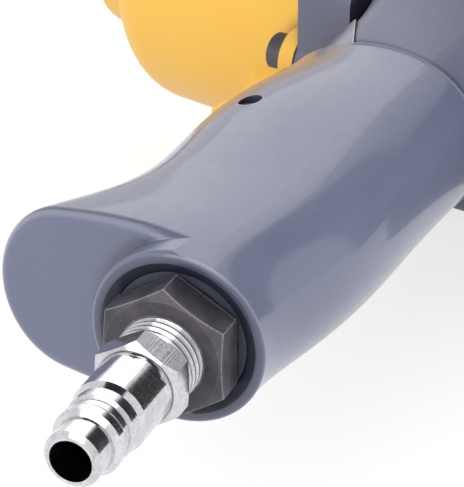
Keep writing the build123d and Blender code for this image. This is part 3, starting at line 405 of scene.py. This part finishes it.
def bare_metal(name, light, dark, rough):
    """Ground or sintered metal with oil stains."""
    g = Graph(name)
    stains = g.noise(scale=180.0, detail=5.0, rough=0.6)
    fine = g.noise(scale=1800.0, detail=3.0, rough=0.6)
    colour = g.ramp(stains, [(0.3, dark), (0.65, light)])
    colour = g.mix(g.span(fine, low=0.0, high=0.3, start=0.55, end=0.7), colour, light)
    g.set(
        Base_Color=colour,
        Metallic=1.0,
        Roughness=g.span(fine, low=rough - 0.07, high=rough + 0.1, start=0.3, end=0.7),
    )
    g.bump(Layer(fine, strength=0.15, depth=0.00004))
    return g.material


def dull(name, light, dark, rough):
    """Rubber, fibre or composite."""
    g = Graph(name)
    blotch = g.noise(scale=220.0, detail=5.0, rough=0.65)
    fine = g.noise(scale=900.0, detail=4.0, rough=0.65)
    g.set(
        Base_Color=g.ramp(blotch, [(0.3, dark), (0.7, light)]),
        Roughness=g.span(fine, low=rough - 0.1, high=rough + 0.1, start=0.3, end=0.7),
    )
    g.bump(Layer(fine, strength=0.25, depth=0.00008))
    return g.material


materials = {
    "case_paint": enamel("case_paint", linear(255, 202, 86), linear(253, 196, 76), rough=0.36),
    "housing_paint": enamel(
        "housing_paint", linear(112, 115, 136), linear(104, 108, 130), rough=0.34, neck=True
    ),
    "cover_paint": enamel("cover_paint", linear(100, 103, 124), linear(92, 96, 117), rough=0.38),
    # The grip's pale edge tone is wear and painted highlight, and its dark tone is painted shade.
    "grip_skin": moulded(
        "grip_skin",
        light=linear(105, 110, 136),
        dark=linear(99, 104, 129),
        rubbed_and_highlight=linear(172, 174, 194),
        painted_shade=linear(32, 36, 52),
        rough=0.36,
        coat=0.7,
        is_grip=True,
    ),
    "trigger_plastic": moulded(
        "trigger_plastic",
        light=linear(254, 192, 24),
        dark=linear(251, 182, 16),
        rubbed_and_highlight=linear(255, 212, 90),
        painted_shade=linear(190, 120, 16),
        rough=0.3,
        coat=0.3,
    ),
    "dial_plastic": moulded(
        "dial_plastic",
        light=linear(44, 45, 50),
        dark=linear(34, 35, 40),
        rubbed_and_highlight=linear(92, 93, 98),
        painted_shade=linear(20, 20, 24),
        rough=0.36,
    ),
    "black_steel": black_oxide("black_steel"),
    "bush_steel": black_oxide("bush_steel", INLET_DIR, INLET),
    "chrome": plated("chrome", INLET_DIR, INLET, tint=(0.74, 0.74, 0.77, 1.0), rough=0.13),
    "steel": bare_metal("steel", linear(176, 175, 176), linear(148, 147, 150), rough=0.32),
    "bronze": bare_metal("bronze", linear(176, 138, 82), linear(140, 104, 58), rough=0.38),
    "rubber": dull("rubber", linear(38, 38, 40), linear(26, 26, 28), rough=0.62),
    "gasket_fibre": dull("gasket_fibre", linear(70, 74, 68), linear(52, 56, 52), rough=0.85),
    "vane_composite": dull("vane_composite", linear(122, 78, 50), linear(96, 58, 36), rough=0.6),
}
# Nodes whose finish differs from that of their slot
own_finish = {"inlet_bush": "bush_steel"}


def slot_of(obj):
    """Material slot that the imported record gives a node."""
    for entry in obj.data.materials:
        slot = entry.name.split(".")[0]
        if slot in materials:
            return slot
    return "steel"


for name, obj in nodes.items():
    finish = own_finish.get(name, slot_of(obj))
    obj.data.materials.clear()
    obj.data.materials.append(materials[finish])


def spoke(angle):
    """Unit vector across the inlet axis, turned from straight forward to up."""
    return FORWARD * math.cos(angle) + UP * math.sin(angle)


def lip_radius(angle, inset):
    """Distance from the lip's widest line to its outline at an angle from straight forward."""
    run_way, side_way = math.cos(angle), abs(math.sin(angle))
    reach = LIP_FRONT - LIP_WIDEST if run_way > 0 else LIP_REAR + LIP_WIDEST
    run_way = abs(run_way)
    run, half, end = reach - LIP_ROUND, LIP_HALF - inset, LIP_ROUND - inset
    flank = (run**2 + half**2 - end**2) / (2 * (half - end))
    drop = (flank - half) * side_way
    far = -drop + math.sqrt(drop**2 + flank**2 - (flank - half)**2)
    if far * run_way <= run + end * run / (flank - end):
        return far
    return run * run_way + math.sqrt((run * run_way)**2 - run**2 + end**2)


def rod(name, path, radii, slot):
    """Round rod with closed ends along a path that runs about the inlet axis. It rides the housing."""
    sides, last = 12, len(path) - 1
    points, faces = [], []
    for step, (spot, radius) in enumerate(zip(path, radii)):
        along = (path[min(step + 1, last)] - path[max(step - 1, 0)]).normalized()
        outward = INLET_DIR.cross(along).normalized()
        upward = along.cross(outward)
        for side in range(sides):
            turn = math.tau * side / sides
            points.append(spot + (outward * math.cos(turn) + upward * math.sin(turn)) * radius)
    for step in range(last):
        for side in range(sides):
            a, b = step * sides + side, step * sides + (side + 1) % sides
            faces.append((a, b, b + sides, a + sides))
    faces.append(tuple(reversed(range(sides))))
    faces.append(tuple(range(last * sides, (last + 1) * sides)))
    mesh = bpy.data.meshes.new(name)
    mesh.from_pydata(points, [], faces)
    mesh.polygons.foreach_set("use_smooth", [len(f) == 4 for f in faces])
    mesh.materials.append(materials[slot])
    obj = bpy.data.objects.new(name, mesh)
    scene.collection.objects.link(obj)
    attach(obj, "housing")
    return obj


def lip_bead():
    """Rounded bead moulded along the lip, from one side of the trigger round the back to the other."""
    bead_radius, sink = 0.00042, 0.0002
    steps, taper_steps, tip_share = 180, 8, 0.1
    start, end = math.radians(68), math.radians(292)
    centre = INLET - INLET_DIR * (LIP_UP - bead_radius) + FORWARD * LIP_WIDEST
    path, radii = [], []
    for step in range(steps + 1):
        angle = start + (end - start) * step / steps
        path.append(centre + spoke(angle) * lip_radius(angle, sink))
        radii.append(bead_radius * min(1.0, tip_share + min(step, steps - step) / taper_steps))
    rod("lip_bead", path, radii, "grip_skin")


def throttle_spring():
    """Coil in place of the CAD's plain sleeve."""
    wire_radius, coil_radius = 0.0005, 0.0045
    turns, flat_turns, steps = 7.0, 0.45, 420
    sleeve = nodes["valve_spring"]
    heights = [(v.co - INLET).dot(INLET_DIR) for v in sleeve.data.vertices]
    foot, top = max(heights), min(heights)
    path = []
    for step in range(steps + 1):
        turned = turns * step / steps
        rise = min(1.0, max(0.0, (turned - flat_turns) / (turns - 2 * flat_turns)))
        height = foot - wire_radius + (top - foot + 2 * wire_radius) * rise
        path.append(INLET + INLET_DIR * height + spoke(math.tau * turned) * coil_radius)
    obj = rod("throttle_spring", path, [wire_radius] * len(path), slot_of(sleeve))
    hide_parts("valve_spring")
    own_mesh(obj)


lip_bead()
throttle_spring()


def panel(name, corners, material):
    """Stage piece through its corners."""
    mesh = bpy.data.meshes.new(name)
    mesh.from_pydata(corners, [], [tuple(range(len(corners)))])
    mesh.materials.append(material)
    obj = bpy.data.objects.new(name, mesh)
    scene.collection.objects.link(obj)
    return obj


def square(centre, half, z):
    """Corners of a level square."""
    ways = ((-1, -1), (1, -1), (1, 1), (-1, 1))
    return [(centre.x + across * half, centre.y + down * half, z) for across, down in ways]


def seen_rays(tree):
    """One for rays from the camera, from gloss or through glass, nought for light that spreads."""
    rays = tree.nodes.new("ShaderNodeLightPath")
    total = rays.outputs["Is Camera Ray"]
    for kind in ("Is Glossy Ray", "Is Transmission Ray"):
        either = tree.nodes.new("ShaderNodeMath")
        either.operation = "MAXIMUM"
        tree.links.new(total, either.inputs[0])
        tree.links.new(rays.outputs[kind], either.inputs[1])
        total = either.outputs["Value"]
    return total


def paper_material():
    """Pale floor that shows white and keeps the tool's shadow."""
    pale, shaded, glow_strength = 0.82, 0.4, 0.72
    paper = bpy.data.materials.new("floor_paper")
    paper.use_nodes = True
    tree = paper.node_tree
    tree.nodes.clear()
    output = tree.nodes.new("ShaderNodeOutputMaterial")
    plain = tree.nodes.new("ShaderNodeBsdfDiffuse")
    plain.inputs["Color"].default_value = (pale, pale, pale, 1.0)
    shade = tree.nodes.new("ShaderNodeBsdfDiffuse")
    shade.inputs["Color"].default_value = (shaded, shaded, shaded, 1.0)
    glow = tree.nodes.new("ShaderNodeEmission")
    glow.inputs["Color"].default_value = WHITE
    glow.inputs["Strength"].default_value = glow_strength
    white = tree.nodes.new("ShaderNodeAddShader")
    tree.links.new(shade.outputs["BSDF"], white.inputs[0])
    tree.links.new(glow.outputs["Emission"], white.inputs[1])
    chosen = tree.nodes.new("ShaderNodeMixShader")
    tree.links.new(seen_rays(tree), chosen.inputs["Fac"])
    tree.links.new(plain.outputs["BSDF"], chosen.inputs[1])
    tree.links.new(white.outputs["Shader"], chosen.inputs[2])
    tree.links.new(chosen.outputs["Shader"], output.inputs["Surface"])
    return paper


def card_material():
    """Matt black card."""
    card = bpy.data.materials.new("black_card")
    card.use_nodes = True
    shader = card.node_tree.nodes["Principled BSDF"]
    shader.inputs["Base Color"].default_value = (0.02, 0.02, 0.024, 1.0)
    shader.inputs["Roughness"].default_value = 0.9
    return card


# Floor under the tool
FLOOR_HALF = 4.0
floor_z = cad_box[0].z
panel("floor", square(Vector((0.0, 0.0)), FLOOR_HALF, floor_z), paper_material())

# White studio: bright where it is seen, dimmer as a light
SKY_LIGHT, SKY_SEEN = 0.64, 1.0
world = bpy.data.worlds.new("studio")
scene.world = world
world.use_nodes = True
sky = world.node_tree
lit = sky.nodes["Background"]
lit.inputs["Color"].default_value = WHITE
lit.inputs["Strength"].default_value = SKY_LIGHT
backdrop = sky.nodes.new("ShaderNodeBackground")
backdrop.inputs["Color"].default_value = WHITE
backdrop.inputs["Strength"].default_value = SKY_SEEN
both = sky.nodes.new("ShaderNodeMixShader")
sky.links.new(seen_rays(sky), both.inputs["Fac"])
sky.links.new(lit.outputs["Background"], both.inputs[1])
sky.links.new(backdrop.outputs["Background"], both.inputs[2])
sky.links.new(both.outputs["Shader"], sky.nodes["World Output"].inputs["Surface"])

# Middle of the grip, which the lights face and the cards stand round
GRIP_CENTRE = Vector((-0.118, 0.1, 0.0))


def direction(azimuth, elevation):
    """Unit vector from the tool, azimuth turned from +X to +Y, both in degrees."""
    a, e = math.radians(azimuth), math.radians(elevation)
    return Vector((math.cos(a) * math.cos(e), math.sin(a) * math.cos(e), math.sin(e)))


def softbox(name, azimuth, elevation, distance, width, height, power):
    """Soft light in a direction from the tool, facing it."""
    lamp = bpy.data.lights.new(name, "AREA")
    lamp.shape = "RECTANGLE"
    lamp.size = width
    lamp.size_y = height
    lamp.energy = power
    obj = bpy.data.objects.new(name, lamp)
    scene.collection.objects.link(obj)
    way = direction(azimuth, elevation)
    obj.location = GRIP_CENTRE + way * distance
    obj.rotation_mode = "QUATERNION"
    obj.rotation_quaternion = (-way).to_track_quat("-Z", "Y")
    obj.visible_camera = False
    return obj


softbox("key_light", azimuth=-58, elevation=37, distance=1.2, width=1.05, height=0.8, power=2.2)
softbox("fill_light", azimuth=95, elevation=30, distance=1.4, width=1.2, height=1.0, power=9.5)
low_light = softbox("low_light", azimuth=-142, elevation=14, distance=0.9, width=0.9, height=0.4, power=3.6)
low_light.visible_glossy = False

# Black cards that put the dark stripe and edges into the gloss, seen by reflections alone.
# The first one's corners are azimuths and elevations from the middle of the grip.
CARD_EDGE = (
    (-88, 54), (-94, 46), (-98, 40), (-102, 31), (-109, 20), (-114, 6), (-114, -20),
    (-128, -20), (-128, 54),
)
CARD_DISTANCE, CARD_LIFT = 0.45, 0.001
CEILING_HEIGHT, CEILING_HALF = 0.6, 0.3
corners = []
for azimuth, elevation in CARD_EDGE:
    spot = GRIP_CENTRE + direction(azimuth, 0) * CARD_DISTANCE
    height = CARD_DISTANCE * math.tan(math.radians(elevation))
    corners.append((spot.x, spot.y, max(height, floor_z + CARD_LIFT)))
ceiling = square(GRIP_CENTRE, CEILING_HALF, CEILING_HEIGHT)
black = card_material()
for card in (panel("black_card", corners, black), panel("ceiling_card", ceiling, black)):
    card.visible_camera = False
    card.visible_diffuse = False
    card.visible_shadow = False

# Camera at the photograph's angle
CAMERA_PLACE = Vector((-0.3249, 0.4021, 0.1936))
CAMERA_WAY = Vector((0.5065, -0.7233, -0.4695))
LENS_MM, SENSOR_MM = 192.2, 36.0
CLIP_NEAR, CLIP_FAR = 0.01, 50.0
camera_data = bpy.data.cameras.new("camera")
camera_data.lens = LENS_MM
camera_data.sensor_width = SENSOR_MM
camera_data.clip_start = CLIP_NEAR
camera_data.clip_end = CLIP_FAR
camera = bpy.data.objects.new("camera", camera_data)
scene.collection.objects.link(camera)
camera.location = CAMERA_PLACE
camera.rotation_mode = "QUATERNION"
camera.rotation_quaternion = CAMERA_WAY.to_track_quat("-Z", "Y")
scene.camera = camera
